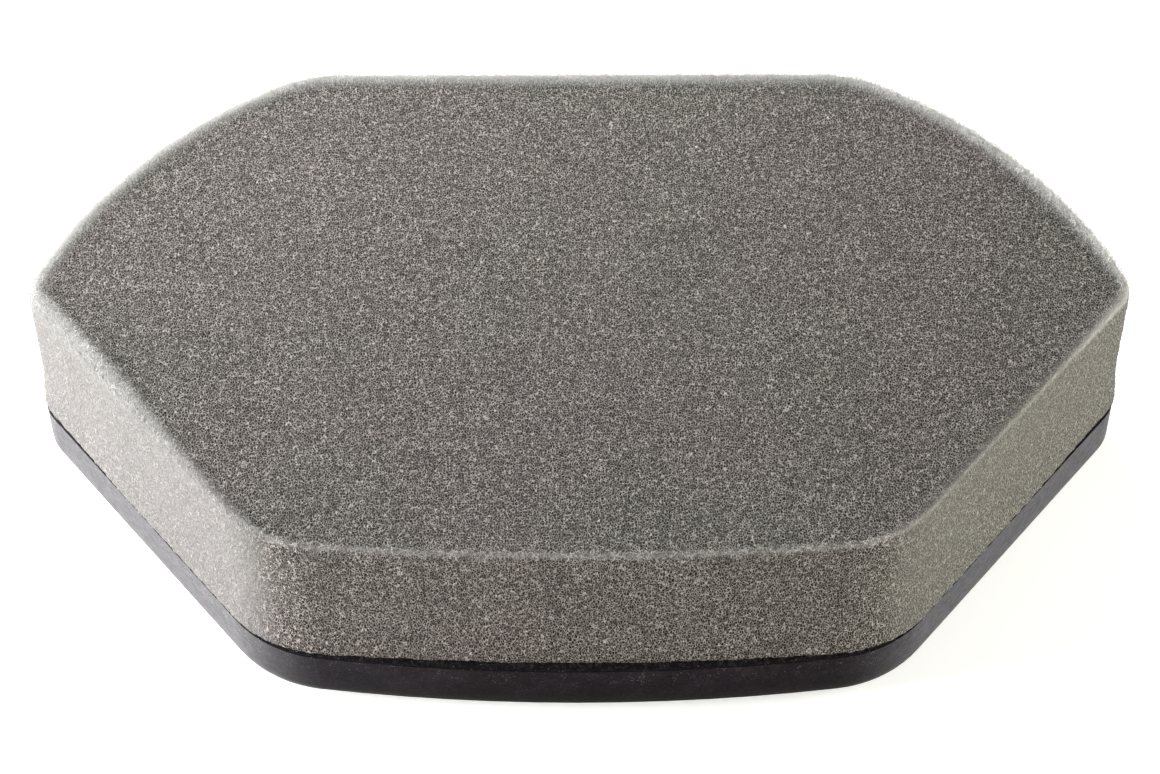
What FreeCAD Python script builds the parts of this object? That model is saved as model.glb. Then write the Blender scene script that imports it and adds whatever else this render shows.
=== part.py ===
"""Flat foam filter pad on a moulded elastomer frame.

FreeCAD 1.1 macro, millimetres, +Z up. The pad lies on its sealing face at z = 0, with its long
axis along X and the origin under the middle of its footprint. An open-cell foam block stands on
an elastomer frame. A stiff grid lies in a rebate of that frame and holds the foam up over the
frame's window, and a thin bond layer joins the foam to the frame.
"""
import FreeCAD, Part
import math
import os

import Sketcher

doc = FreeCAD.newDocument("filter_pad")
os.makedirs("parts", exist_ok=True)

# ---------------------------------------------------------------- driving dimensions
DIMENSIONS = {
    # six-sided plan of the foam: centres and radii of the arcs that make it
    "front_corner_x": 43.2,        # centre of each front corner, from the middle
    "front_corner_y": 33.0,        # the same centre, in front of the middle
    "front_corner_radius": 22.6,
    "front_bow_radius": 522.0,     # the front side is very slightly bowed
    "bevel_angle": 51.1,           # straight front bevel, from the long axis, degrees
    "tip_radius": 6.6,
    "back_bevel_x": 11.1,          # centre of each bowed back bevel, from the middle
    "back_bevel_y": 25.5,          # the same centre, in front of the middle
    "back_bevel_radius": 94.0,
    "back_corner_radius": 24.0,
    "back_y": 59.1,                # straight back side, behind the middle
    # heights
    "frame_height": 11.5,
    "bond_thickness": 0.5,
    "foam_height": 30.0,
    # elastomer frame
    "frame_proud": 0.6,            # the frame stands this far outside the foam
    "frame_corner_y": 33.9,        # its front corners lie a little further out
    "frame_bow_radius": 350.0,     # its front side is bowed a little more than the foam's
    "frame_tip_radius": 9.0,
    "frame_edge_radius": 3.0,      # rounded lower outer edge
    "inner_tip_radius": 5.0,       # tips of every outline inside the frame
    "rebate_inset": 12.0,
    "rebate_depth": 4.0,
    "window_inset": 18.0,
    "window_chamfer": 1.0,
    "groove_inset": 5.5,           # first sealing groove, from the outline
    "groove_pitch": 4.5,
    "groove_width": 1.6,
    "groove_depth": 1.0,
    # studs moulded on the frame's ledge, which pass through the grid
    "stud_radius": 1.4,
    "stud_height": 4.0,
    "stud_inset": 15.0,
    "stud_run": 33.0,              # along each straight bevel, from its front corner
    "stud_turn": 39.0,             # round each bowed bevel, from the long axis, degrees
    # support grid
    "grid_clearance": 0.15,
    "stud_clearance": 0.15,
    "grid_thickness": 4.5,         # fills the rebate and the bond gap, so it carries the foam
    "rib_width": 2.2,
    "rib_pitch": 11.5,
    "ribs_across": 15,
    "ribs_along": 7,
}

sheet = doc.addObject("Spreadsheet::Sheet", "dimensions")
for row, (alias, value) in enumerate(DIMENSIONS.items(), start=1):
    sheet.set("A%d" % row, alias)
    sheet.set("B%d" % row, str(value))
    sheet.setAlias("B%d" % row, alias)
doc.recompute()


def worth(expression):
    """The number that an expression of the sheet's cells comes to."""
    found = sheet.evalExpression(expression)
    return float(getattr(found, "Value", found))


def cell(alias):
    """The expression that reads one driving dimension."""
    return "dimensions." + alias


def less(whole, part):
    """The expression for one expression less another."""
    return "(%s) - (%s)" % (whole, part)


# ---------------------------------------------------------------- bodies, sketches, features
def new_body(name):
    """An empty PartDesign body whose Label names its STEP file."""
    body = doc.addObject("PartDesign::Body", name)
    body.Label = name
    return body


def flat_sketch(body, name, height):
    """A sketch parallel to the body's XY plane, at the height that an expression gives."""
    plane = next(item for item in body.Origin.OriginFeatures if item.Role == "XY_Plane")
    sketch = body.newObject("Sketcher::SketchObject", name)
    sketch.AttachmentSupport = (plane, [""])
    sketch.MapMode = "FlatFace"
    sketch.setExpression("AttachmentOffset.Base.z", height)
    return sketch


def bind(sketch, constraint, expression):
    """Adds a dimension to a sketch and binds it to the sheet."""
    index = sketch.addConstraint(constraint)
    sketch.setExpression("Constraints[%d]" % index, expression)


def feature(body, kind, name, sketch, length, reverse=False):
    """A Pad or Pocket of a sketch, with its length bound to the sheet.

    A Pad goes up from its sketch and a Pocket down from it, unless it is reversed. One that adds
    or takes away nothing points the wrong way, which the volume shows.
    """
    before = body.Tip.Shape.Volume if body.Tip else 0.0
    made = body.newObject("PartDesign::" + kind, name)
    made.Profile = sketch
    made.Reversed = reverse
    made.setExpression("Length", length)
    sketch.Visibility = False
    doc.recompute()
    gained = made.Shape.Volume - before
    if (gained if kind == "Pad" else -gained) < 1.0:
        raise RuntimeError("%s changes the volume by %.3f" % (name, gained))
    return made


def edge_names(shape, wanted):
    """The names, such as Edge3, of some of a shape's edges."""
    return ["Edge%d" % number for number, edge in enumerate(shape.Edges, start=1)
            if any(edge.isSame(other) for other in wanted)]


def bottom_face(shape):
    """The flat face that a shape lies on."""
    return next(face for face in shape.Faces if face.BoundBox.ZMax < 1e-6)


# ---------------------------------------------------------------- the six-sided plan
def mirrored(point):
    """The same point on the left half of the plan."""
    return FreeCAD.Vector(-point.x, point.y, 0)


def beyond(centre, through, radius):
    """The point on a circle about centre, in the direction of another point."""
    return centre + (through - centre).normalize() * radius


def arc(centre, radius, start, end):
    """A counter-clockwise arc between two points that lie on it."""
    circle = Part.Circle(centre, FreeCAD.Vector(0, 0, 1), radius)
    first = math.atan2(start.y - centre.y, start.x - centre.x)
    last = math.atan2(end.y - centre.y, end.x - centre.x)
    if last <= first:
        last += 2 * math.pi
    return Part.ArcOfCircle(circle, first, last)


def plan_edges(inset, tip_radius, bow, corner_y):
    """The plan's twelve edges, counter-clockwise from the front bow, moved inwards by an inset.

    The right half is worked out from the sheet, and the left half mirrors it. bow and corner_y
    are the aliases of the front side's radius and of its corners' distance from the middle.
    """
    vector = FreeCAD.Vector
    bow_radius = worth(cell(bow)) - inset
    front_radius = worth(cell("front_corner_radius")) - inset
    bevel_radius = worth(cell("back_bevel_radius")) - inset
    back_radius = worth(cell("back_corner_radius")) - inset
    back_side = worth(cell("back_y")) - inset
    front = vector(worth(cell("front_corner_x")), -worth(cell(corner_y)), 0)
    bevel = vector(worth(cell("back_bevel_x")), -worth(cell("back_bevel_y")), 0)
    angle = math.radians(worth(cell("bevel_angle")))
    along = vector(math.cos(angle), math.sin(angle), 0)
    outward = vector(math.sin(angle), -math.cos(angle), 0)

    bow_rise = math.sqrt((bow_radius - front_radius) ** 2 - front.x ** 2)
    bow_centre = vector(0, front.y + bow_rise, 0)
    bow_end = beyond(bow_centre, front, bow_radius)
    line_start = front + outward * front_radius
    # the tip's centre is at the tip's radius from the straight bevel and from the bowed one
    offset = line_start - outward * tip_radius
    back_off = (bevel - offset).dot(along)
    reach = bevel_radius - tip_radius
    run = back_off + math.sqrt(back_off ** 2 - (offset - bevel).Length ** 2 + reach ** 2)
    tip = offset + along * run
    line_end = tip + outward * tip_radius
    tip_end = beyond(bevel, tip, bevel_radius)
    back_y = back_side - back_radius
    back_run = math.sqrt((bevel_radius - back_radius) ** 2 - (back_y - bevel.y) ** 2)
    back = vector(bevel.x + back_run, back_y, 0)
    bevel_end = beyond(bevel, back, bevel_radius)
    side_end = vector(back.x, back_side, 0)

    return [
        arc(bow_centre, bow_radius, mirrored(bow_end), bow_end),
        arc(front, front_radius, bow_end, line_start),
        Part.LineSegment(line_start, line_end),
        arc(tip, tip_radius, line_end, tip_end),
        arc(bevel, bevel_radius, tip_end, bevel_end),
        arc(back, back_radius, bevel_end, side_end),
        Part.LineSegment(side_end, mirrored(side_end)),
        arc(mirrored(back), back_radius, mirrored(side_end), mirrored(bevel_end)),
        arc(mirrored(bevel), bevel_radius, mirrored(bevel_end), mirrored(tip_end)),
        arc(mirrored(tip), tip_radius, mirrored(tip_end), mirrored(line_end)),
        Part.LineSegment(mirrored(line_end), mirrored(line_start)),
        arc(mirrored(front), front_radius, mirrored(line_start), mirrored(bow_end)),
    ]


def draw_plan(sketch, inset="0", tip=cell("tip_radius"), bow="front_bow_radius",
              corner_y="front_corner_y"):
    """Draws the plan in a sketch, moved inwards by an inset, and constrains it fully.

    Each corner is an arc tangent to its two sides, so moving the plan inwards keeps the arcs'
    centres and takes the inset off their radii. Only the tips state their own radius.
    """
    edges = plan_edges(worth(inset), worth(tip), bow, corner_y)
    loop = list(sketch.addGeometry(edges, False))
    constraint = Sketcher.Constraint
    for here, after in zip(loop, loop[1:] + loop[:1]):
        sketch.addConstraint(constraint("Tangent", here, 2, after, 1))
    (bow_arc, front, line, tip_arc, bevel, back,
     side, back_left, bevel_left, tip_left, line_left, front_left) = loop

    bind(sketch, constraint("Radius", tip_arc, worth(tip)), tip)
    for curve, alias in ((bow_arc, bow), (front, "front_corner_radius"),
                         (bevel, "back_bevel_radius"), (back, "back_corner_radius")):
        radius = less(cell(alias), inset)
        bind(sketch, constraint("Radius", curve, worth(radius)), radius)
    for right, left in ((front, front_left), (bevel, bevel_left),
                        (back, back_left), (tip_arc, tip_left)):
        sketch.addConstraint(constraint("Equal", right, left))
    for right, left, alias_x, alias_y in (
            (front, front_left, "front_corner_x", corner_y),
            (bevel, bevel_left, "back_bevel_x", "back_bevel_y")):
        across = cell(alias_x)
        ahead = cell(alias_y)
        bind(sketch, constraint("DistanceX", -1, 1, right, 3, worth(across)), across)
        bind(sketch, constraint("DistanceY", right, 3, -1, 1, worth(ahead)), ahead)
        sketch.addConstraint(constraint("Symmetric", right, 3, left, 3, -2))
    lean = cell("bevel_angle") + " * 1 deg"
    bind(sketch, constraint("Angle", line, math.radians(worth(lean))), lean)
    bind(sketch, constraint("Angle", line_left, -math.radians(worth(lean))), "-" + lean)
    behind = less(cell("back_y"), inset)
    sketch.addConstraint(constraint("Horizontal", side))
    bind(sketch, constraint("DistanceY", -1, 1, side, 1, worth(behind)), behind)


# ---------------------------------------------------------------- studs and ribs
def draw_studs(sketch, radius):
    """Ten circles in the middle of the ledge: on both long sides, the corners and the bevels."""
    inset = cell("stud_inset")
    lean = cell("bevel_angle") + " * 1 deg"
    turn = cell("stud_turn") + " * 1 deg"
    behind = less(cell("back_y"), inset)
    front_reach = "(" + less(cell("front_corner_radius"), inset) + ")"
    back_reach = "(" + less(cell("back_bevel_radius"), inset) + ")"
    corner_x = cell("front_corner_x")
    corner_y = cell("front_corner_y")
    run = cell("stud_run")
    places = [
        ("0", "-(%s)" % behind),
        ("0", behind),
        (corner_x, behind),
        ("%s + %s * sin(0.5 * %s)" % (corner_x, front_reach, lean),
         "-%s - %s * cos(0.5 * %s)" % (corner_y, front_reach, lean)),
        ("%s + %s * sin(%s) + %s * cos(%s)" % (corner_x, front_reach, lean, run, lean),
         "%s * sin(%s) - %s - %s * cos(%s)" % (run, lean, corner_y, front_reach, lean)),
        ("%s + %s * cos(%s)" % (cell("back_bevel_x"), back_reach, turn),
         "%s * sin(%s) - %s" % (back_reach, turn, cell("back_bevel_y"))),
    ]
    constraint = Sketcher.Constraint
    for across, up in places:
        for sign in ("", "-"):
            if across == "0" and sign:
                continue
            place_x = "%s(%s)" % (sign, across)
            centre = FreeCAD.Vector(worth(place_x), worth(up), 0)
            circle = sketch.addGeometry(
                Part.Circle(centre, FreeCAD.Vector(0, 0, 1), worth(radius)), False)
            bind(sketch, constraint("Radius", circle, worth(radius)), radius)
            bind(sketch, constraint("DistanceX", -1, 1, circle, 3, centre.x), place_x)
            bind(sketch, constraint("DistanceY", -1, 1, circle, 3, centre.y), up)


def draw_bar(sketch, low_x, low_y, long_x, long_y):
    """A rectangle with its low corner and its two lengths given as expressions."""
    low = FreeCAD.Vector(worth(low_x), worth(low_y), 0)
    across = FreeCAD.Vector(worth(long_x), 0, 0)
    up = FreeCAD.Vector(0, worth(long_y), 0)
    corners = [low, low + across, low + across + up, low + up]
    lines = [Part.LineSegment(a, b) for a, b in zip(corners, corners[1:] + corners[:1])]
    bottom, right, top, left = sketch.addGeometry(lines, False)
    constraint = Sketcher.Constraint
    for here, after in ((bottom, right), (right, top), (top, left), (left, bottom)):
        sketch.addConstraint(constraint("Coincident", here, 2, after, 1))
    for flat, upright in ((bottom, right), (top, left)):
        sketch.addConstraint(constraint("Horizontal", flat))
        sketch.addConstraint(constraint("Vertical", upright))
    bind(sketch, constraint("DistanceX", -1, 1, bottom, 1, low.x), low_x)
    bind(sketch, constraint("DistanceY", -1, 1, bottom, 1, low.y), low_y)
    bind(sketch, constraint("DistanceX", bottom, 1, bottom, 2, across.x), long_x)
    bind(sketch, constraint("DistanceY", right, 1, right, 2, up.y), long_y)


def repeated(body, name, original, axis, count, pitch):
    """A linear pattern of one feature along an axis of the body's origin."""
    line = next(item for item in body.Origin.OriginFeatures if item.Role == axis)
    pattern = body.newObject("PartDesign::LinearPattern", name)
    pattern.Originals = [original]
    pattern.Direction = (line, [""])
    pattern.setExpression("Occurrences", count)
    pattern.setExpression("Length", "(%s - 1) * %s" % (count, pitch))
    body.Tip = pattern
    doc.recompute()
    return pattern


# ---------------------------------------------------------------- the pieces
def make_filter_foam():
    """The block of open-cell foam that does the filtering."""
    body = new_body("filter_foam")
    plan = flat_sketch(body, "foam_plan", cell("frame_height") + " + " + cell("bond_thickness"))
    draw_plan(plan)
    feature(body, "Pad", "foam_block", plan, cell("foam_height"))
    return body


def make_bond_layer():
    """The thin ring of elastomer soaked into the foam's lowest cells, on the frame's land."""
    body = new_body("bond_layer")
    ring = flat_sketch(body, "bond_plan", cell("frame_height"))
    draw_plan(ring)
    draw_plan(ring, cell("rebate_inset"), cell("inner_tip_radius"))
    feature(body, "Pad", "bond_ring", ring, cell("bond_thickness"))
    return body


def make_base_frame():
    """The moulded elastomer frame: window, rebate with studs, sealing grooves, round lower edge."""
    body = new_body("base_frame")
    plan = flat_sketch(body, "frame_plan", "0")
    draw_plan(plan, "-" + cell("frame_proud"),
              cell("frame_tip_radius"), "frame_bow_radius", "frame_corner_y")
    block = feature(body, "Pad", "frame_block", plan, cell("frame_height"))

    rounded = body.newObject("PartDesign::Fillet", "rounded_edge")
    rounded.Base = (block, edge_names(block.Shape, bottom_face(block.Shape).Edges))
    rounded.setExpression("Radius", cell("frame_edge_radius"))
    doc.recompute()

    rebate = flat_sketch(body, "rebate_plan", cell("frame_height"))
    draw_plan(rebate, cell("rebate_inset"), cell("inner_tip_radius"))
    feature(body, "Pocket", "rebate", rebate, cell("rebate_depth"))

    window = flat_sketch(body, "window_plan", cell("frame_height"))
    draw_plan(window, cell("window_inset"), cell("inner_tip_radius"))
    opened = feature(body, "Pocket", "window", window, cell("frame_height"))

    land = bottom_face(opened.Shape)
    rim = [edge for wire in land.Wires if not wire.isSame(land.OuterWire) for edge in wire.Edges]
    chamfer = body.newObject("PartDesign::Chamfer", "window_chamfer")
    chamfer.Base = (opened, edge_names(opened.Shape, rim))
    chamfer.setExpression("Size", cell("window_chamfer"))
    doc.recompute()

    for number in range(2):
        outer = "%s + %d * %s" % (cell("groove_inset"), number, cell("groove_pitch"))
        groove = flat_sketch(body, "groove_plan_%d" % (number + 1), "0")
        draw_plan(groove, outer, cell("inner_tip_radius"))
        draw_plan(groove, outer + " + " + cell("groove_width"),
                  less(cell("inner_tip_radius"), cell("groove_width")))
        feature(body, "Pocket", "sealing_groove_%d" % (number + 1), groove,
                cell("groove_depth"), reverse=True)

    studs = flat_sketch(body, "stud_plan", less(cell("frame_height"), cell("rebate_depth")))
    draw_studs(studs, cell("stud_radius"))
    feature(body, "Pad", "studs", studs, cell("stud_height"))
    return body


def draw_rib(body, name, count, crossing):
    """One rib of the grid, first of its row, long enough to end beyond the ring."""
    pitch = cell("rib_pitch")
    width = cell("rib_width")
    first = "-0.5 * ((%s - 1) * %s + %s)" % (cell(count), pitch, width)
    length = "(%s + 1) * %s" % (cell(crossing), pitch)
    start = "-0.5 * (%s)" % length
    sketch = flat_sketch(body, name + "_plan", less(cell("frame_height"), cell("rebate_depth")))
    if count == "ribs_along":
        draw_bar(sketch, start, first, length, width)
    else:
        draw_bar(sketch, first, start, width, length)
    return feature(body, "Pad", name, sketch, cell("grid_thickness"))


def make_support_grid():
    """The stiff grid in the frame's rebate: crossed ribs inside a flat ring with stud holes."""
    body = new_body("support_grid")
    ledge = less(cell("frame_height"), cell("rebate_depth"))
    top = "%s + %s" % (ledge, cell("grid_thickness"))
    outline = cell("rebate_inset") + " + " + cell("grid_clearance")
    along = draw_rib(body, "rib_along", "ribs_along", "ribs_across")
    across = draw_rib(body, "rib_across", "ribs_across", "ribs_along")
    repeated(body, "ribs_across_pattern", across, "X_Axis", cell("ribs_across"), cell("rib_pitch"))
    repeated(body, "ribs_along_pattern", along, "Y_Axis", cell("ribs_along"), cell("rib_pitch"))

    # the ribs' ends are cut off outside the ring's outline, then the ring is added
    trim = flat_sketch(body, "trim_plan", top)
    margin = "4 * " + cell("back_y")
    draw_bar(trim, "-0.5 * " + margin, "-0.5 * " + margin, margin, margin)
    draw_plan(trim, outline, cell("inner_tip_radius"))
    feature(body, "Pocket", "trimmed_ends", trim, cell("grid_thickness"))

    ring = flat_sketch(body, "ring_plan", ledge)
    draw_plan(ring, outline, cell("inner_tip_radius"))
    draw_plan(ring, cell("window_inset"), cell("inner_tip_radius"))
    feature(body, "Pad", "ring", ring, cell("grid_thickness"))

    holes = flat_sketch(body, "stud_hole_plan", top)
    draw_studs(holes, cell("stud_radius") + " + " + cell("stud_clearance"))
    feature(body, "Pocket", "stud_holes", holes, cell("grid_thickness"))
    return body


# ---------------------------------------------------------------- build, check, export
PIECES = [make_filter_foam(), make_bond_layer(), make_base_frame(), make_support_grid()]
doc.recompute()
for item in doc.Objects:
    if "Invalid" in item.State or "Error" in item.State:
        raise RuntimeError("%s is %s" % (item.Label, item.State))
    if item.TypeId == "Sketcher::SketchObject" and not item.FullyConstrained:
        raise RuntimeError(item.Label + " is not fully constrained")
for piece in PIECES:
    shape = piece.Shape
    if shape.isNull() or not shape.isValid():
        raise RuntimeError(piece.Label + " has no valid shape")
    shape.exportStep("parts/%s.step" % piece.Label)
    box = shape.BoundBox
    print("%-14s solids %d  volume %9.0f  x %.2f..%.2f  y %.2f..%.2f  z %.2f..%.2f" % (
        piece.Label, len(shape.Solids), shape.Volume,
        box.XMin, box.XMax, box.YMin, box.YMax, box.ZMin, box.ZMax))
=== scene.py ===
import logging
import math
from dataclasses import dataclass, field
from enum import Enum

import bmesh
import bpy
from mathutils import Matrix, Vector
from mathutils.geometry import convex_hull_2d


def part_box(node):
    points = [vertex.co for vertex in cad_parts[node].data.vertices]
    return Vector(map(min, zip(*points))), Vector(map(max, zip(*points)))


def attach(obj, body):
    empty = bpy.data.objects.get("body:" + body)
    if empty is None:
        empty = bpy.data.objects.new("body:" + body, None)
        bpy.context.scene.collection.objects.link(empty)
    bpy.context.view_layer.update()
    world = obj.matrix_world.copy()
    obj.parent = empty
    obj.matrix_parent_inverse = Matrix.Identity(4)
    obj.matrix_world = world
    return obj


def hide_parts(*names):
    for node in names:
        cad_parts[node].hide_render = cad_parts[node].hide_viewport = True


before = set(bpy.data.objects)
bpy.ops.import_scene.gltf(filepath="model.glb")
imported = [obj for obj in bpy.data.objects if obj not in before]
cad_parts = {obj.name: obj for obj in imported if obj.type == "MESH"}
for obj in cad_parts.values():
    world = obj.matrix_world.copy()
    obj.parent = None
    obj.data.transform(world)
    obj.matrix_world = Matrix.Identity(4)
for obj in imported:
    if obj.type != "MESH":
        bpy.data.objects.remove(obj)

MM = 0.001
LEVEL = 0.01 * MM  # heights this close are the same
WELD = 0.001 * MM  # points this close are one
SHORTEST = 1e-7  # a run shorter than this, in metres, has no direction
BEVEL_ANGLE = math.radians(51.1)  # each bevel faces this far round from straight ahead
FULL_FLAT_LIGHT = 0.7  # a share of the bevels' painted flat light that counts as all of it
ROOT = "root"

log = logging.getLogger("filter_pad")

Colour = tuple[float, float, float]
Socket = bpy.types.NodeSocket


class Node(Enum):
    """The CAD nodes, by the names that the frame gives them."""

    FOAM = "filter_foam"
    BOND = "bond_layer"
    FRAME = "base_frame"
    GRID = "support_grid"


class Slot(Enum):
    """The record's material slots for the pieces that are made here."""

    FOAM = "filter_foam"
    BOND = "bond"


def node_box(node: Node) -> tuple[Vector, Vector]:
    """The lowest and highest corners of a CAD node, in metres."""
    low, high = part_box(node.value)
    return Vector(low), Vector(high)


# ---------------------------------------------------------------- node graphs
class Graph:
    """A node tree being built, with short calls that add and join nodes."""

    def __init__(self, tree: bpy.types.NodeTree) -> None:
        """Starts on a tree, which keeps the nodes that it has."""
        self.tree = tree

    def add(self, kind: str, inputs: dict | None = None, **settings: object) -> bpy.types.Node:
        """Adds a node.

        Args:
            kind: the node's Blender type.
            inputs: values or sockets, by the input's name or number.
            settings: the node's own properties.

        Returns:
            The new node.
        """
        node = self.tree.nodes.new(kind)
        for name, value in settings.items():
            setattr(node, name, value)
        for name, value in (inputs or {}).items():
            self.feed(node.inputs[name], value)
        return node

    def feed(self, socket: Socket, value: object) -> None:
        """Joins a socket to another one, or sets its value."""
        if isinstance(value, bpy.types.NodeSocket):
            self.tree.links.new(value, socket)
        else:
            socket.default_value = value

    def math(self, operation: str, first: object, second: object = 0.0) -> Socket:
        """One Math node.

        Args:
            operation: the node's operation, such as POWER.
            first: number or socket.
            second: number or socket.

        Returns:
            The result's socket.
        """
        node = self.add("ShaderNodeMath", {0: first, 1: second}, operation=operation)
        return node.outputs[0]

    def plus(self, first: object, second: object) -> Socket:
        """The sum of two numbers."""
        return self.math("ADD", first, second)

    def minus(self, first: object, second: object) -> Socket:
        """The first number less the second."""
        return self.math("SUBTRACT", first, second)

    def times(self, *factors: object) -> Socket:
        """The product of two or more numbers, multiplied in the order given."""
        product = factors[0]
        for factor in factors[1:]:
            product = self.math("MULTIPLY", product, factor)
        return product

    def vector(self, operation: str, first: object, second: object = (0, 0, 0)) -> Socket:
        """One Vector Math node, for operations whose result is a vector."""
        node = self.add("ShaderNodeVectorMath", {0: first, 1: second}, operation=operation)
        return node.outputs["Vector"]

    def scaled(self, vector: object, factor: object) -> Socket:
        """A vector times a number."""
        node = self.add("ShaderNodeVectorMath", {0: vector, "Scale": factor}, operation="SCALE")
        return node.outputs["Vector"]

    def axis(self, vector: object, name: str) -> Socket:
        """One of a vector's parts, X, Y or Z."""
        return self.add("ShaderNodeSeparateXYZ", {0: vector}).outputs[name]

    def remap(self, value: object, low: float, high: float, to_low: float = 0.0,
              to_high: float = 1.0) -> Socket:
        """Moves a number from one range to another, eased and held at both ends.

        Args:
            value: number or socket.
            low: start of the range that is read.
            high: end of the range that is read.
            to_low: result at low.
            to_high: result at high.

        Returns:
            The result's socket.
        """
        node = self.add("ShaderNodeMapRange", {
            "Value": value, "From Min": low, "From Max": high,
            "To Min": to_low, "To Max": to_high})
        node.interpolation_type = "SMOOTHSTEP"
        return node.outputs["Result"]

    def noise(self, place: Socket, pitch: float, detail: float = 2.0,
              roughness: float = 0.5) -> Socket:
        """Noise from 0 to 1 whose lumps are about one pitch apart, in metres."""
        node = self.add("ShaderNodeTexNoise", {
            "Vector": place, "Scale": 1.0 / pitch, "Detail": detail, "Roughness": roughness})
        return node.outputs[0]

    def cells(self, place: Socket, pitch: float, feature: str = "F1") -> Socket:
        """Distance inside random cells about one pitch across, in cell widths."""
        node = self.add("ShaderNodeTexVoronoi", {"Vector": place, "Scale": 1.0 / pitch},
                        feature=feature)
        return node.outputs["Distance"]

    def mix(self, factor: object, first: object, second: object,
            blend: str = "MIX") -> Socket:
        """Mixes two colours."""
        node = self.add("ShaderNodeMix", data_type="RGBA", blend_type=blend)
        self.feed(node.inputs[0], factor)
        self.feed(node.inputs[6], first)
        self.feed(node.inputs[7], second)
        return node.outputs[2]


def opaque(colour: Colour) -> tuple[float, float, float, float]:
    """A colour with an alpha of 1."""
    return (*colour, 1.0)


class Surface(Graph):
    """A material's graph with one Principled shader."""

    def __init__(self, name: str, roughness: float, specular: float) -> None:
        """Makes the material and sets its shader's roughness and specular level."""
        self.material = bpy.data.materials.new(name)
        self.material.use_nodes = True
        super().__init__(self.material.node_tree)
        self.shader = self.tree.nodes["Principled BSDF"]
        self.shader.inputs["Roughness"].default_value = roughness
        self.shader.inputs["Specular IOR Level"].default_value = specular
        self.place = self.add("ShaderNodeTexCoord").outputs["Object"]

    def colour(self, socket: Socket) -> None:
        """Feeds the shader's colour."""
        self.feed(self.shader.inputs["Base Color"], socket)

    def bump(self, height: Socket, depth: float, strength: float = 1.0) -> None:
        """Feeds the shader's normal with a height from 0 to 1 that stands depth metres deep."""
        node = self.add("ShaderNodeBump", {
            "Height": height, "Distance": depth, "Strength": strength})
        self.feed(self.shader.inputs["Normal"], node.outputs["Normal"])

    def grey(self, value: Socket) -> Socket:
        """A number as a grey colour."""
        return self.add("ShaderNodeCombineColor", {0: value, 1: value, 2: value}).outputs[0]

    def height_above_floor(self) -> Socket:
        """The Z of the point being shaded."""
        return self.axis(self.place, "Z")


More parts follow.
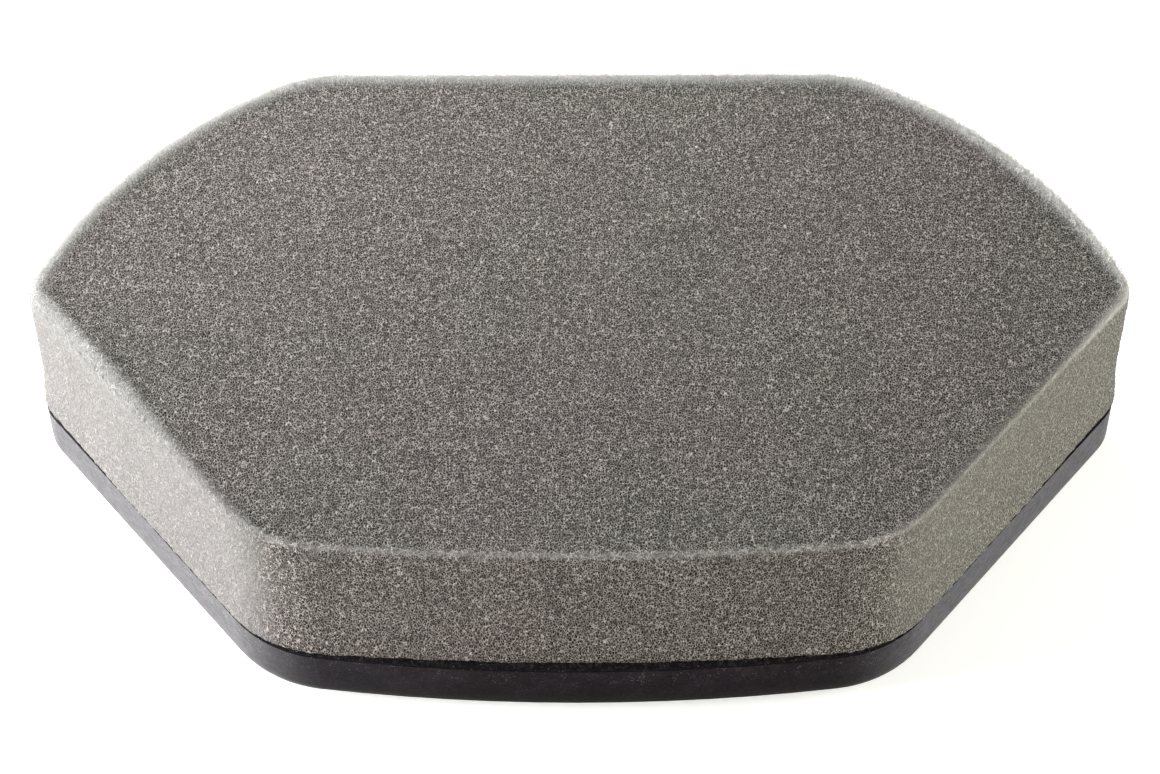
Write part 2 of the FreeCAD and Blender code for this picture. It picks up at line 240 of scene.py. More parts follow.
# ---------------------------------------------------------------- finishes
@dataclass(frozen=True)
class OpenCellFoam:
    """Grey open-cell polyurethane foam: light struts round cells painted dark, as painted shade
    inside the open cells.

    The cells are a little longer upwards and from front to back than they are across, because
    the foam rose that way. The block is painted paler along its rim, as painted light for the
    light that cut struts and open cells let through there, and on the two straight bevels the
    cells' painted shade is evened out, as painted light flooding the open cells.
    """

    cell: float = 0.50 * MM
    stretch: tuple[float, float, float] = (1.20, 0.84, 0.66)
    strut: Colour = (0.348, 0.3255, 0.304)
    # painted shade: the deeper struts and the pores are painted dark for the shade deep inside the
    # open cells
    shaded_deep_strut: Colour = (0.036, 0.033, 0.031)
    painted_pore_shade: Colour = (0.006, 0.0055, 0.0055)
    # painted light: the cut cells' pale colour, for strong light on the rim's fuzz
    strand: Colour = (0.66, 0.655, 0.64)
    # painted light: the flat tone that evens out the cells' painted shade on the straight bevels
    nap: Colour = (0.140, 0.137, 0.133)
    # painted light: the rim's pale colour, for light let through the rim
    pale: Colour = (0.60, 0.60, 0.585)
    mauve: Colour = (1.025, 0.992, 1.0)
    olive: Colour = (0.985, 1.004, 0.98)
    flat_light_cover: float = 0.62
    break_cells: float = 0.8
    clump_cells: float = 2.2
    tint_pitch: float = 48 * MM
    second_layer: tuple[float, float, float] = (0.0137, 0.0071, 0.0053)
    soaked: Colour = (0.010, 0.009, 0.010)
    soak_height: float = 0.30 * MM
    soak_cells: float = 1.3
    soak_pitch: float = 6 * MM
    soak_blend: tuple[float, float] = (-0.08 * MM, 0.12 * MM)
    bevel_soak_drop: float = 0.35 * MM
    hang: float = 0.46 * MM
    pore_depth: float = 0.30 * MM

    def material(self) -> bpy.types.Material:
        """Builds the foam's material."""
        g = Surface("open_cell_foam", roughness=0.95, specular=0.12)
        rim, nap, strand = (g.add("ShaderNodeAttribute", attribute_name=name).outputs["Fac"]
                            for name in ("rim", "nap", "strand"))
        warp = g.add("ShaderNodeTexNoise", {
            "Vector": g.place, "Scale": 0.5 / self.cell, "Detail": 1.0}).outputs["Color"]
        place = g.vector("ADD", g.vector("MULTIPLY", g.place, self.stretch),
                         g.scaled(g.vector("SUBTRACT", warp, (0.5, 0.5, 0.5)), 0.5 * self.cell))
        front = g.remap(g.cells(place, self.cell, "DISTANCE_TO_EDGE"), 0.02, 0.20, 1.0, 0.0)
        # many struts are cut through or sunk, so the net that they make is broken
        kept = g.noise(place, self.break_cells * self.cell, 2.0, 0.7)
        front = g.times(front, g.remap(kept, 0.40, 0.58, 0.20, 1.0))
        # a second layer of cells, seen through the first; its struts and the pores are painted
        # dark, as painted shade deep in the open cells
        behind = g.vector("ADD", place, self.second_layer)
        deep = g.remap(g.cells(behind, self.cell, "DISTANCE_TO_EDGE"), 0.02, 0.24, 1.0, 0.0)
        tone = g.mix(deep, opaque(self.painted_pore_shade), opaque(self.shaded_deep_strut))
        tone = g.mix(front, tone, opaque(self.strut))
        # clumps a few cells wide, and a slow drift of tint over the whole block
        clump = g.noise(g.place, self.clump_cells * self.cell, 3.0, 0.6)
        clump = g.remap(clump, 0.3, 0.7, 0.70, 1.30)
        tone = g.mix(1.0, tone, g.grey(clump), "MULTIPLY")
        tint = g.mix(g.remap(g.noise(g.place, self.tint_pitch, 3.0), 0.38, 0.62),
                     opaque(self.mauve), opaque(self.olive))
        tone = g.mix(1.0, tone, tint, "MULTIPLY")
        # painted light: on the straight bevels the tone is pulled towards one flat colour, painted
        # light flooding the open cells
        tone = g.mix(g.times(nap, self.flat_light_cover), tone, opaque(self.nap))
        # painted light: the rim is painted pale
        tone = g.mix(rim, tone, opaque(self.pale))
        # painted light: the cut cells are painted brightest where the painted rim light is
        # strongest, and dull where the bevels' painted flat light is
        lit = g.times(strand, g.remap(rim, 0.0, 0.5, 0.35, 1.0),
                      g.remap(nap, 0.0, FULL_FLAT_LIGHT, 1.0, 0.15))
        tone = g.mix(lit, tone, opaque(self.strand))
        g.colour(g.mix(self.soaked_edge(g, nap), tone, opaque(self.soaked)))
        relief = g.plus(g.times(front, 0.7), g.times(deep, 0.3))
        g.bump(relief, self.pore_depth)
        return g.material

    def soaked_edge(self, g: Surface, nap: Socket) -> Socket:
        """Where elastomer has soaked up into the lowest cells.

        Args:
            g: the foam's graph.
            nap: the straight bevels' share, which also carries their painted flat light; less
                elastomer reaches up there.

        Returns:
            1 below a ragged line, else 0.
        """
        low, _ = node_box(Node.FOAM)
        ragged = g.noise(g.place, self.soak_cells * self.cell, 2.0, 0.7)
        slow = g.noise(g.place, self.soak_pitch, 2.0)
        # both noises are near 0.5, so four times their product is near 1
        reach = g.times(ragged, slow, 4.0 * self.soak_height,
                        g.remap(nap, 0.0, FULL_FLAT_LIGHT, 1.0, 0.45))
        line = g.plus(reach, low.z - self.hang)
        line = g.minus(line, g.times(nap, self.bevel_soak_drop))
        above = g.minus(g.height_above_floor(), line)
        return g.remap(above, *self.soak_blend, 1.0, 0.0)


@dataclass(frozen=True)
class SatinElastomer:
    """Black cast polyurethane elastomer: a dull, slightly scuffed skin with fine dust."""

    black: Colour = (0.0060, 0.0040, 0.0063)
    bloom: Colour = (0.0140, 0.0096, 0.0144)
    strip: Colour = (0.0120, 0.0118, 0.0100)
    speck: Colour = (0.20, 0.19, 0.20)
    strip_height: float = 3.8 * MM
    strip_blend: tuple[float, float] = (0.8 * MM, 0.6 * MM)
    dull: float = 0.60
    polished: float = 0.52
    specular: float = 0.205
    cloud_pitch: float = 8 * MM
    grit_pitch: float = 0.45 * MM
    dust_pitch: float = 0.42 * MM
    dust_patch: float = 1.4 * MM
    dust_drop: tuple[float, float] = (6 * MM, 1 * MM)
    scuff_pitch: float = 1.8 * MM
    wave_pitch: float = 7 * MM
    relief_depth: float = 0.11 * MM

    def material(self) -> bpy.types.Material:
        """Builds the elastomer's material."""
        g = Surface("satin_elastomer", self.dull, self.specular)
        height = g.height_above_floor()
        # smears run along the wall, so the pattern is drawn out across and squeezed upwards
        drawn = g.vector("MULTIPLY", g.place, (1.0, 1.0, 1.6))
        cloud = g.remap(g.noise(drawn, self.cloud_pitch, 5.0, 0.62), 0.42, 0.72)
        fine = g.noise(g.place, self.grit_pitch, 3.0, 0.7)
        tone = g.mix(g.times(cloud, g.remap(fine, 0.3, 0.7, 0.5, 1.0)),
                     opaque(self.black), opaque(self.bloom))
        tone = g.mix(1.0, tone, g.grey(g.remap(fine, 0.36, 0.64, 0.45, 1.6)), "MULTIPLY")
        # a strip along the foot is a little paler
        below = g.remap(height, self.strip_height - self.strip_blend[0],
                        self.strip_height + self.strip_blend[1], 1.0, 0.0)
        tone = g.mix(g.times(below, 0.7), tone, opaque(self.strip))
        dust = g.cells(g.place, self.dust_pitch)
        sparse = g.remap(g.noise(g.place, self.dust_patch, 2.0), 0.48, 0.60)
        # most of the dust is on the upper edge
        _, top = node_box(Node.FRAME)
        high = g.remap(height, top.z - self.dust_drop[0], top.z - self.dust_drop[1], 0.12, 1.0)
        speck = g.times(g.remap(dust, 0.10, 0.26, 1.0, 0.0), g.times(sparse, high))
        g.colour(g.mix(speck, tone, opaque(self.speck)))
        scuff = g.noise(drawn, self.scuff_pitch, 5.0, 0.65)
        g.feed(g.shader.inputs["Roughness"],
               g.remap(scuff, 0.35, 0.65, self.polished, self.dull))
        wave = g.noise(g.place, self.wave_pitch, 2.0)
        relief = g.plus(g.times(fine, 0.7), g.times(wave, 0.3))
        g.bump(relief, self.relief_depth, 0.9)
        return g.material


@dataclass(frozen=True)
class BondSkin:
    """Rough black elastomer where it has soaked into foam."""

    black: Colour = (0.0050, 0.0045, 0.0050)
    lump: Colour = (0.026, 0.023, 0.025)
    speck: Colour = (0.17, 0.16, 0.165)
    lump_pitch: float = 0.6 * MM
    lump_depth: float = 0.2 * MM
    dust_pitch: float = 0.45 * MM
    dust_patch: float = 1.2 * MM

    def material(self) -> bpy.types.Material:
        """Builds the bond layer's material."""
        g = Surface("soaked_bond", roughness=0.8, specular=0.10)
        lumps = g.noise(g.place, self.lump_pitch, 3.0, 0.7)
        tone = g.mix(g.remap(lumps, 0.42, 0.66), opaque(self.black), opaque(self.lump))
        dust = g.cells(g.place, self.dust_pitch)
        speck = g.times(g.remap(dust, 0.10, 0.24, 1.0, 0.0),
                        g.remap(g.noise(g.place, self.dust_patch, 2.0), 0.52, 0.60))
        g.colour(g.mix(speck, tone, opaque(self.speck)))
        g.bump(lumps, self.lump_depth)
        return g.material


@dataclass(frozen=True)
class GridPlastic:
    """Black moulded polypropylene with a fine matte texture."""

    black: Colour = (0.030, 0.030, 0.032)
    wear_and_painted_light: Colour = (0.055, 0.055, 0.058)
    flow_pitch: float = 12 * MM
    grain_pitch: float = 0.35 * MM
    grain_depth: float = 0.03 * MM

    def material(self) -> bpy.types.Material:
        """Builds the grid's material."""
        g = Surface("grid_plastic", roughness=0.55, specular=0.45)
        flow = g.noise(g.place, self.flow_pitch, 4.0, 0.6)
        g.colour(g.mix(g.remap(flow, 0.4, 0.7), opaque(self.black), opaque(self.wear_and_painted_light)))
        grain = g.noise(g.place, self.grain_pitch, 2.0)
        g.bump(grain, self.grain_depth)
        return g.material


@dataclass(frozen=True)
class PaleFloor:
    """The plain pale floor of the studio, a light table that glows faintly."""

    colour: Colour = (0.90, 0.90, 0.90)
    glow: float = 0.58
    drift_pitch: float = 0.4
    drift_share: float = 0.985

    def material(self) -> bpy.types.Material:
        """Builds the floor's material."""
        g = Surface("pale_floor", roughness=0.9, specular=0.1)
        drift = g.noise(g.place, self.drift_pitch, 1.0)
        dim = tuple(self.drift_share * channel for channel in self.colour)
        g.colour(g.mix(drift, opaque(self.colour), opaque(dim)))
        g.shader.inputs["Emission Color"].default_value = opaque(self.colour)
        g.shader.inputs["Emission Strength"].default_value = self.glow
        return g.material


# ---------------------------------------------------------------- geometry trees
class ShapeTree(Graph):
    """A Geometry Nodes tree with named inputs, run once on an object and turned into a mesh."""

    def __init__(self, name: str, material: bpy.types.Material) -> None:
        """Makes an empty tree that will end in one material."""
        super().__init__(bpy.data.node_groups.new(name, "GeometryNodeTree"))
        self.material = material
        self.identifiers: dict[str, str] = {}
        self.values: dict[str, object] = {}
        self.tree.interface.new_socket("Geometry", in_out="OUTPUT",
                                       socket_type="NodeSocketGeometry")
        self.tree.interface.new_socket("Geometry", in_out="INPUT",
                                       socket_type="NodeSocketGeometry")
        self.entry = self.add("NodeGroupInput")

    @property
    def source(self) -> Socket:
        """The geometry that the tree is run on."""
        return self.entry.outputs["Geometry"]

    def size(self, name: str, value: object, kind: str = "NodeSocketFloat") -> Socket:
        """A named input of the tree.

        Args:
            name: the input's name.
            value: what it is set to when the tree is run.
            kind: the socket's type.

        Returns:
            The input's socket inside the tree.
        """
        made = self.tree.interface.new_socket(name, in_out="INPUT", socket_type=kind)
        self.identifiers[name] = made.identifier
        self.values[name] = value
        return self.entry.outputs[name]

    def end(self, geometry: Socket) -> None:
        """Realizes the geometry, gives it its material and joins it to the output."""
        real = self.add("GeometryNodeRealizeInstances", {0: geometry}).outputs[0]
        dressed = self.add("GeometryNodeSetMaterial", {"Geometry": real})
        dressed.inputs["Material"].default_value = self.material
        self.add("NodeGroupOutput", {"Geometry": dressed.outputs[0]})

    def run(self, source: bpy.types.Object, name: str) -> bpy.types.Object:
        """Runs the tree on an object.

        Args:
            source: the object that it starts from, which is left as it was.
            name: the new piece's name.

        Returns:
            A new object at the origin with a plain mesh and the tree's material.
        """
        modifier = source.modifiers.new(self.tree.name, "NODES")
        modifier.node_group = self.tree
        for key, identifier in self.identifiers.items():
            modifier[identifier] = self.values[key]
        mesh = evaluated_mesh(source, name)
        source.modifiers.remove(modifier)
        mesh.materials.clear()
        mesh.materials.append(self.material)
        return new_object(name, mesh)


def new_object(name: str, data: bpy.types.ID) -> bpy.types.Object:
    """An object at the origin, in the scene's collection."""
    made = bpy.data.objects.new(name, data)
    bpy.context.scene.collection.objects.link(made)
    return made


def evaluated_mesh(source: bpy.types.Object, name: str) -> bpy.types.Mesh:
    """The mesh that an object's modifiers make, as a plain mesh of its own."""
    bpy.context.view_layer.update()
    graph = bpy.context.evaluated_depsgraph_get()
    mesh = bpy.data.meshes.new_from_object(source.evaluated_get(graph), depsgraph=graph)
    mesh.name = name
    return mesh


def discard(*objects: bpy.types.Object) -> None:
    """Removes helper objects that aren't part of the model."""
    for item in objects:
        bpy.data.objects.remove(item, do_unlink=True)


def merged_copy(node: Node, name: str) -> bpy.types.Object:
    """A copy of a CAD node's mesh with its loose triangles joined."""
    mesh = bpy.data.objects[node.value].data.copy()
    shape = bmesh.new()
    shape.from_mesh(mesh)
    bmesh.ops.remove_doubles(shape, verts=shape.verts, dist=WELD)
    shape.to_mesh(mesh)
    shape.free()
    mesh.materials.clear()
    return new_object(name, mesh)


def outline(node: Node) -> list[Vector]:
    """The outer outline of a CAD node's top, counter-clockwise.

    The plan bulges outwards all round, so its convex hull is its outline.

    Args:
        node: the node whose outline is read.

    Returns:
        The outline's points, in plan.
    """
    mesh = bpy.data.objects[node.value].data
    top = max(vertex.co.z for vertex in mesh.vertices)
    points = [vertex.co.to_2d() for vertex in mesh.vertices
              if abs(vertex.co.z - top) < LEVEL]
    ring = [points[index] for index in convex_hull_2d(points)]
    return sorted(ring, key=lambda point: math.atan2(point.y, point.x))


def closed_curve(ring: list[Vector], height: float, name: str) -> bpy.types.Object:
    """A closed curve of straight runs.

    Args:
        ring: the points that it goes through, in plan.
        height: the height that it is put at.
        name: the curve's name.

    Returns:
        The curve's object.
    """
    curve = bpy.data.curves.new(name, "CURVE")
    curve.dimensions = "3D"
    spline = curve.splines.new("POLY")
    spline.points.add(len(ring) - 1)
    for target, point in zip(spline.points, ring):
        target.co = (point.x, point.y, height, 1.0)
    spline.use_cyclic_u = True
    return new_object(name, curve)


def even_ring(ring: list[Vector], step: float) -> list[tuple[Vector, Vector]]:
    """Points evenly spaced along a closed outline, each with the outward direction there.

    Args:
        ring: the outline's points, counter-clockwise, in plan.
        step: the distance between two points.

    Returns:
        The points and their outward directions.
    """
    made = []
    for here, after in zip(ring, ring[1:] + ring[:1]):
        run = after - here
        if run.length < SHORTEST:
            continue
        count = max(1, round(run.length / step))
        outward = Vector((run.y, -run.x)).normalized()
        made += [(here + run * number / count, outward) for number in range(count)]
    # each direction is eased with its neighbours', so a corner turns smoothly
    turned = [sum((made[(index + shift) % len(made)][1] for shift in (-1, 0, 1)),
                  Vector((0.0, 0.0))).normalized() for index in range(len(made))]
    return [(point, outward) for (point, _), outward in zip(made, turned)]


# ---------------------------------------------------------------- the foam block
@dataclass
class FoamBlock:
    """The block of foam: its rough cut surface, and the cut cells that stand up along its rims."""

    finish: OpenCellFoam = field(default_factory=OpenCellFoam)
    voxel: float = 0.55 * MM
    roughness_depth: float = 0.36 * MM
    skin_cells: float = 1.7
    wave: float = 0.35 * MM
    wave_pitch: float = 22 * MM
    flare: float = 0.85 * MM
    flare_height: float = 14 * MM
    front_flare: float = 0.6
    front_reach: tuple[float, float] = (-58 * MM, -48 * MM)
    bevel_flare: float = 1.45
    bevel_reach: tuple[float, float] = (-22 * MM, -4 * MM)
    hang_depth: float = 0.52 * MM
    hang_height: float = 0.9 * MM
    tuft_pitch: float = 1.1 * MM
    tuft_range: tuple[float, float] = (0.62, 1.45)
    # sizes and fades of the painted rim light, and how the bevels' painted flat light is shared
    # out
    rim_width: float = 4.8 * MM
    thin_rim_width: float = 1.6 * MM
    soft_reach: tuple[float, float] = (-42 * MM, 8 * MM)
    soft_slant: float = 0.2
    fade_front: float = 0.45
    fade_gain: float = 0.50
    fade_power: float = 1.5
    wall_fade: float = 0.12
    left_fade: float = 0.5
    right_fade: float = 1.3
    right_width: float = 0.75
    right_flat_light: float = 0.72
    bevel_blend: tuple[float, float] = (3.0 * MM, 0.2 * MM)
    rim_round: float = 1.0 * MM
    strut_radius: float = 0.045 * MM
    cell_width: float = 1.05 * MM
    density: float = 1.5e7
    tilt: float = 0.5
    growth: tuple[float, float] = (0.6, 1.40)
    seed: int = 7

    def build(self) -> list[bpy.types.Object]:
        """Builds the block and its cut cells."""
        material = self.finish.material()
        _, high = node_box(Node.FOAM)
        rim = closed_curve(outline(Node.FOAM), high.z, "rim_line")
        block = self.block(material, rim)
        cells = self.cut_cells(material, block)
        discard(rim)
        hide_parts(Node.FOAM.value)
        for piece in (block, *cells):
            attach(piece, ROOT)
        return [block, *cells]

    def block(self, material: bpy.types.Material, rim: bpy.types.Object) -> bpy.types.Object:
        """The block itself, remeshed evenly and roughened by its cells.

        Args:
            material: the foam's material.
            rim: the line round the block's upper edge.

        Returns:
            The finished block.
        """
        source = self.rounded_source()
        remesh = source.modifiers.new("even_mesh", "REMESH")
        remesh.mode = "VOXEL"
        remesh.voxel_size = self.voxel
        even = new_object("foam_even", evaluated_mesh(source, "foam_even"))
        tree = ShapeTree("foam_skin", material)
        place = tree.add("GeometryNodeInputPosition").outputs[0]
        normal = tree.add("GeometryNodeInputNormal").outputs[0]
        line = tree.size("Rim", rim, "NodeSocketObject")
        edge = tree.add("GeometryNodeObjectInfo", {"Object": line}).outputs["Geometry"]
        edge = tree.add("GeometryNodeCurveToMesh", {"Curve": edge}).outputs[0]
        near = tree.add("GeometryNodeProximity", {0: edge}, target_element="EDGES")
        fade, nap = self.wear_and_painted_light(tree, place, normal, near.outputs["Distance"])
        out = self.offset(tree, place, normal)
        shape = tree.source
        # stores the painted rim light's share and the bevels' painted flat light share
        for name, value in (("rim", fade), ("nap", nap)):
            shape = tree.add("GeometryNodeStoreNamedAttribute", {
                "Geometry": shape, "Name": name, "Value": value},
                data_type="FLOAT", domain="POINT").outputs[0]
        shift = tree.vector("ADD", tree.scaled(normal, out), self.lean(tree, place, normal))
        shift = tree.vector("ADD", shift, self.hang(tree, place, normal))
        moved = tree.add("GeometryNodeSetPosition", {
            "Geometry": shape, "Offset": shift}).outputs[0]
        smooth = tree.add("GeometryNodeSetShadeSmooth", {0: moved})
        tree.end(smooth.outputs[0])
        block = tree.run(even, "foam_block")
        discard(source, even)
        return block

    def rounded_source(self) -> bpy.types.Object:
        """A copy of the CAD block with its upper edge rounded.

        Returns:
            The copy's object.
        """
        source = merged_copy(Node.FOAM, "foam_source")
        _, high = node_box(Node.FOAM)
        shape = bmesh.new()
        shape.from_mesh(source.data)
        bmesh.ops.dissolve_limit(shape, angle_limit=math.radians(0.5), verts=shape.verts,
                                 edges=shape.edges)
        upper = [edge for edge in shape.edges
                 if all(abs(vertex.co.z - high.z) < LEVEL for vertex in edge.verts)]
        bmesh.ops.bevel(shape, geom=upper, offset=self.rim_round, segments=4, profile=0.5,
                        affect="EDGES", clamp_overlap=False)
        shape.to_mesh(source.data)
        shape.free()
        return source

    def wear_and_painted_light(self, tree: ShapeTree, place: Socket, normal: Socket,
             distance: Socket) -> tuple[Socket, Socket]:
        """How much painted rim light the foam gets near its rim, and how much painted flat light
        the straight bevels get.

        The painted rim light widens from the front to the back, towards the back and left lights.
        It lies on the top face, and the walls below it are painted pale only a little. It is
        fainter on the left bevel, and narrower and stronger on the right one.

        Args:
            tree: the tree that the shares are worked out in.
            place: a point of the block.
            normal: the outward direction there.
            distance: how far that point is from the rim line.

        Returns:
            The painted rim light's share and the bevels' painted flat light share, both from 0 to
            1.
        """
        across, along = tree.axis(place, "X"), tree.axis(place, "Y")
        # how far a point lies along the outward direction of the straight bevel on its own side
        sideways, forwards = math.sin(BEVEL_ANGLE), math.cos(BEVEL_ANGLE)
        reach = tree.minus(tree.times(tree.math("ABSOLUTE", across), sideways),
                           tree.times(along, forwards))
        wall = max(abs(point.x) * sideways - point.y * forwards
                   for point in outline(Node.FOAM))
        bevel = tree.remap(reach, wall - self.bevel_blend[0], wall - self.bevel_blend[1])
        left_bevel = tree.times(bevel, tree.math("LESS_THAN", across, 0.0))
        right_bevel = tree.minus(bevel, left_bevel)
        wide = tree.size("Rim Width", self.rim_width)
        thin = tree.size("Thin Rim Width", self.thin_rim_width)
        # painted light: the painted rim light widens towards the back, and further forward on the
        # left than on the right, following the back and left lights
        toward_back = tree.minus(along, tree.times(across, self.soft_slant))
        soft = tree.remap(toward_back, *self.soft_reach)
        width = tree.plus(thin, tree.times(soft, tree.minus(wide, thin)))
        width = tree.times(width, tree.remap(right_bevel, 0.0, 1.0, 1.0, self.right_width))
        share = tree.remap(tree.math("DIVIDE", distance, width), 0.0, 1.0, 1.0, 0.0)
        share = tree.math("POWER", share, self.fade_power)
        fade = tree.times(share, tree.plus(self.fade_front, tree.times(soft, self.fade_gain)))
        turned = tree.minus(tree.axis(normal, "Z"), tree.times(left_bevel, 0.5))
        fade = tree.times(fade, tree.remap(turned, 0.1, 0.8, self.wall_fade, 1.0),
                          tree.remap(left_bevel, 0.0, 1.0, 1.0, self.left_fade),
                          tree.remap(right_bevel, 0.0, 1.0, 1.0, self.right_fade))
        # painted light: the right bevel gets less of the painted flat light
        less_on_right = tree.remap(across, -10 * MM, 10 * MM, 1.0, self.right_flat_light)
        return fade, tree.times(bevel, less_on_right)

    def lean(self, tree: ShapeTree, place: Socket, normal: Socket) -> Socket:
        """How the foot of the walls leans out towards the frame's edge, least along the front.

        Args:
            tree: the tree that it is worked out in.
            place: a point of the block.
            normal: the outward direction there.

        Returns:
            The shift, sideways, in metres.
        """
        low, _ = node_box(Node.FOAM)
        flare = tree.size("Flare", self.flare)
        height, along = tree.axis(place, "Z"), tree.axis(place, "Y")
        foot = tree.remap(height, low.z, low.z + self.flare_height, 1.0, 0.0)
        # the frame stands further out along the straight bevels, which end at the middle
        spread = tree.times(foot, foot, flare,
                            tree.remap(along, *self.front_reach, self.front_flare, 1.0),
                            tree.remap(along, *self.bevel_reach, self.bevel_flare, 1.0))
        level = tree.vector("MULTIPLY", normal, (1.0, 1.0, 0.0))
        size = tree.add("ShaderNodeVectorMath", {0: level}, operation="LENGTH").outputs["Value"]
        spread = tree.times(spread, tree.remap(size, 0.2, 0.5))
        return tree.scaled(tree.vector("NORMALIZE", level), spread)

    def hang(self, tree: ShapeTree, place: Socket, normal: Socket) -> Socket:
        """How the lowest edge of the walls hangs, in tufts, over the bond line.

        Args:
            tree: the tree that it is worked out in.
            place: a point of the block.
            normal: the outward direction there.

        Returns:
            The shift, downwards, in metres.
        """
        low, _ = node_box(Node.FOAM)
        drop = tree.size("Hang", self.hang_depth)
        height = tree.axis(place, "Z")
        facing = tree.axis(normal, "Z")
        edge = tree.times(tree.remap(height, low.z, low.z + self.hang_height, 1.0, 0.0),
                          tree.remap(facing, -0.98, -0.85))
        tufts = tree.noise(place, self.tuft_pitch, 2.0, 0.7)
        tufts = tree.remap(tufts, 0.35, 0.65, *self.tuft_range)
        down = tree.times(edge, tufts, drop)
        return tree.scaled((0.0, 0.0, -1.0), down)

    def offset(self, tree: ShapeTree, place: Socket, normal: Socket) -> Socket:
        """How far the skin moves outwards from the even block.

        Args:
            tree: the tree that it is worked out in.
            place: a point of the block.
            normal: the outward direction there.

        Returns:
            The distance, in metres.
        """
        cell = tree.size("Cell", self.finish.cell * self.skin_cells)
        depth = tree.size("Depth", self.roughness_depth)
        wave = tree.size("Wave", self.wave)
        pores = tree.add("ShaderNodeTexVoronoi", {
            "Vector": place, "Scale": tree.math("DIVIDE", 1.0, cell)}).outputs["Distance"]
        rough = tree.times(tree.minus(pores, 0.55), depth)
        slow = tree.times(tree.minus(tree.noise(place, self.wave_pitch), 0.5), wave)
        facing = tree.axis(normal, "Z")
        out = tree.plus(rough, slow)
        # the underside lies on the grid and the bond layer, so it stays flat
        return tree.times(out, tree.remap(facing, -0.9, -0.5))

    def cluster(self) -> bpy.types.Object:
        """One cut cell: an arch of three thin struts that stands on the surface."""
        half = 0.5 * self.cell_width
        points = [Vector((-half, 0, -0.25 * half)), Vector((-0.4 * half, 0.2 * half, 1.15 * half)),
                  Vector((0.5 * half, -0.15 * half, 0.95 * half)),
                  Vector((half, 0, -0.25 * half))]
        shape = bmesh.new()
        for start, end in zip(points, points[1:]):
            along = (end - start).normalized()
            turn = along.to_track_quat("Z", "Y").to_matrix()
            middle = (start + end) / 2
            ring = [shape.verts.new(middle + turn @ Vector((
                self.strut_radius * math.cos(angle), self.strut_radius * math.sin(angle), 0)))
                for angle in (0, math.tau / 3, 2 * math.tau / 3)]
            first = shape.verts.new(start)
            last = shape.verts.new(end)
            for here, after in zip(ring, ring[1:] + ring[:1]):
                shape.faces.new((after, here, first))
                shape.faces.new((here, after, last))
        mesh = bpy.data.meshes.new("cut_cell")
        shape.to_mesh(mesh)
        shape.free()
        strand = mesh.attributes.new("strand", "FLOAT", "POINT")
        strand.data.foreach_set("value", [1.0] * len(mesh.vertices))
        return new_object("cut_cell", mesh)

    def cut_cells(self, material: bpy.types.Material,
                  block: bpy.types.Object) -> list[bpy.types.Object]:
        """Scatters cut cells along the block's upper rim, as a back piece and a front piece.

        Args:
            material: the foam's material.
            block: the finished block, which the cells stand on.

        Returns:
            The two pieces.
        """
        cluster = self.cluster()
        made = []
        for number, side in enumerate(("back", "front")):
            tree = ShapeTree("cut_cells_" + side, material)
            density = tree.size("Density", self.density)
            seed = tree.size("Seed", self.seed + number, "NodeSocketInt")
            stamp = tree.size("Cell", cluster, "NodeSocketObject")
            place = tree.add("GeometryNodeInputPosition").outputs[0]
            depth = tree.axis(place, "Y")
            chosen = tree.math("GREATER_THAN" if side == "back" else "LESS_THAN", depth, 0.0)
            near, nap = (tree.add("GeometryNodeInputNamedAttribute", {"Name": name},
                                  data_type="FLOAT").outputs["Attribute"]
                         for name in ("rim", "nap"))
            amount = tree.times(density, near, tree.remap(nap, 0.0, FULL_FLAT_LIGHT, 1.0, 0.1))
            spread = tree.add("GeometryNodeDistributePointsOnFaces", {
                "Mesh": tree.source, "Selection": chosen, "Density": amount, "Seed": seed})
            lean = tree.add("FunctionNodeRandomValue", {
                0: (-self.tilt, -self.tilt, -math.pi), 1: (self.tilt, self.tilt, math.pi),
                "Seed": seed}, data_type="FLOAT_VECTOR").outputs[0]
            turned = tree.add("FunctionNodeRotateRotation", {
                "Rotation": spread.outputs["Rotation"], "Rotate By": lean},
                rotation_space="LOCAL").outputs[0]
            grown = tree.add("FunctionNodeRandomValue", {
                2: self.growth[0], 3: self.growth[1], "Seed": seed},
                data_type="FLOAT").outputs[1]
            arch = tree.add("GeometryNodeObjectInfo", {"Object": stamp}).outputs["Geometry"]
            stamped = tree.add("GeometryNodeInstanceOnPoints", {
                "Points": spread.outputs["Points"], "Instance": arch,
                "Rotation": turned, "Scale": grown})
            tree.end(stamped.outputs[0])
            made.append(tree.run(block, "cut_cells_" + side))
        discard(cluster)
        return made


